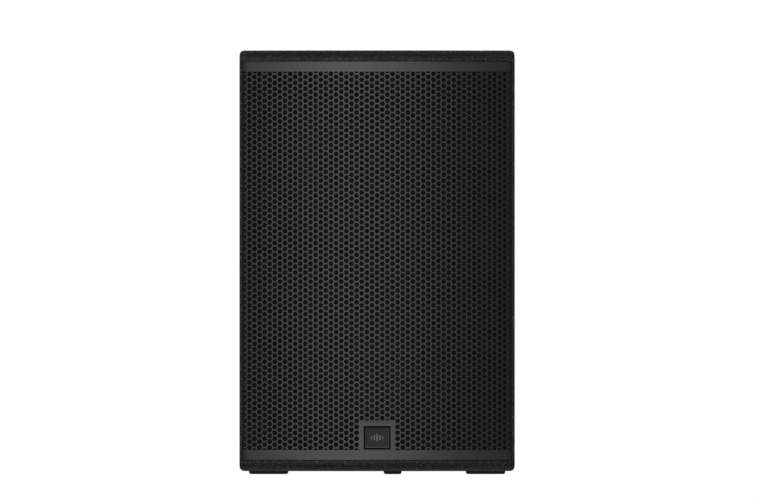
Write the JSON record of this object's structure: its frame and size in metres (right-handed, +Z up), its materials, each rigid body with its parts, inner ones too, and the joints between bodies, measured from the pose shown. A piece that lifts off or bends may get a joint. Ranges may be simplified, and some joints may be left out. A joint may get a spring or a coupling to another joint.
{
  "type": "pa speaker cabinet",
  "caption": "Upright powered loudspeaker: bowed perforated grille between overhanging panels, woofer and horn behind it, recessed amplifier at the back, side handles, pole socket.",
  "frame": {"origin": "on the floor, under the middle of the cabinet's width and depth", "axes": "+Z up, the grille faces -Y, the amplifier faces +Y, +X to the right seen from the front"},
  "size_m": [0.432, 0.4, 0.665],
  "materials": {
    "coating": "plywood under a hard black textured coating",
    "plywood": "bare birch plywood",
    "grille_steel": "black powder coat",
    "foam": "open-cell acoustic foam",
    "badge": null,
    "black_plastic": "moulded black",
    "rubber": "matt black",
    "basket_metal": "painted frame",
    "magnet_steel": "plated and ferrite motor parts",
    "cone_paper": "coated paper",
    "cloth": "doped cloth",
    "coil": "enamelled wire",
    "titanium": "thin metal dome",
    "panel_metal": "black anodised or painted",
    "steel": "zinc plated",
    "circuit_board": "green lacquer",
    "copper": "wound copper wire under film",
    "batting": "loose polyester fibre",
    "cable": "black sheath"
  },
  "bodies": {
    "cabinet": {"top_panel": "coating", "bottom_panel": "coating", "left_side_panel": "coating", "right_side_panel": "coating", "rear_panel": "coating", "front_baffle": "coating", "shelf_brace": "plywood", "grille": "grille_steel", "grille_foam": "foam", "badge": "badge", "badge_holder": "black_plastic", "horn": "black_plastic", "compression_driver_cap": "black_plastic", "port_tube_left": "black_plastic", "port_tube_right": "black_plastic", "handle_left": "black_plastic", "handle_right": "black_plastic", "pole_socket": "black_plastic", "combo_jack_1": "black_plastic", "combo_jack_2": "black_plastic", "xlr_output": "black_plastic", "mains_inlet": "black_plastic", "power_switch_frame": "black_plastic", "woofer_gasket": "rubber", "foot_front_left": "rubber", "foot_front_middle": "rubber", "foot_front_right": "rubber", "foot_rear_left": "rubber", "foot_rear_right": "rubber", "woofer_basket": "basket_metal", "woofer_top_plate": "magnet_steel", "woofer_magnet": "magnet_steel", "woofer_back_plate": "magnet_steel", "compression_driver": "magnet_steel", "woofer_surround": "cloth", "woofer_spider": "cloth", "amp_panel": "panel_metal", "heat_sink": "panel_metal", "amp_cover": "panel_metal", "fly_point_left": "steel", "fly_point_right": "steel", "power_amp_board": "circuit_board", "input_board": "circuit_board", "transformer": "copper", "damping_top": "batting", "damping_right": "batting", "damping_left": "batting", "woofer_cable": "cable", "hf_cable": "cable"},
    "woofer_diaphragm": {"woofer_cone": "cone_paper", "woofer_dust_cap": "cone_paper", "woofer_voice_coil": "coil"},
    "hf_dome": {"hf_diaphragm": "titanium"},
    "gain_1": {"gain_knob_1": "black_plastic"},
    "gain_2": {"gain_knob_2": "black_plastic"},
    "power_rocker": {"power_switch_rocker": "black_plastic"},
    "button_1": {"button_1": "black_plastic"},
    "button_2": {"button_2": "black_plastic"},
    "latch_1": {"jack_latch_1": "steel"},
    "latch_2": {"jack_latch_2": "steel"}
  },
  "joints": [
    {"name": "woofer_excursion", "type": "slide", "parent": "cabinet", "child": "woofer_diaphragm", "axis": [0, -1, 0], "range_m": [-0.008, 0.008], "stiffness_N_per_m": 6000, "deforming": ["woofer_surround", "woofer_spider"]},
    {"name": "hf_excursion", "type": "slide", "parent": "cabinet", "child": "hf_dome", "axis": [0, -1, 0], "range_m": [-0.0004, 0.0004], "stiffness_N_per_m": 20000},
    {"name": "gain_1_turn", "type": "hinge", "parent": "cabinet", "child": "gain_1", "pos_m": [-0.078, 0.1793, 0.492], "axis": [0, 1, 0], "range_deg": [-150, 150]},
    {"name": "gain_2_turn", "type": "hinge", "parent": "cabinet", "child": "gain_2", "pos_m": [0.078, 0.1793, 0.492], "axis": [0, 1, 0], "range_deg": [-150, 150]},
    {"name": "power_rock", "type": "hinge", "parent": "cabinet", "child": "power_rocker", "pos_m": [0.066, 0.1796, 0.366], "axis": [1, 0, 0], "range_deg": [0, 20]},
    {"name": "button_1_press", "type": "slide", "parent": "cabinet", "child": "button_1", "axis": [0, -1, 0], "range_m": [0, 0.0015], "stiffness_N_per_m": 500},
    {"name": "button_2_press", "type": "slide", "parent": "cabinet", "child": "button_2", "axis": [0, -1, 0], "range_m": [0, 0.0015], "stiffness_N_per_m": 500},
    {"name": "latch_1_press", "type": "slide", "parent": "cabinet", "child": "latch_1", "axis": [0, -1, 0], "range_m": [0, 0.0015], "stiffness_N_per_m": 500},
    {"name": "latch_2_press", "type": "slide", "parent": "cabinet", "child": "latch_2", "axis": [0, -1, 0], "range_m": [0, 0.0015], "stiffness_N_per_m": 500}
  ]
}
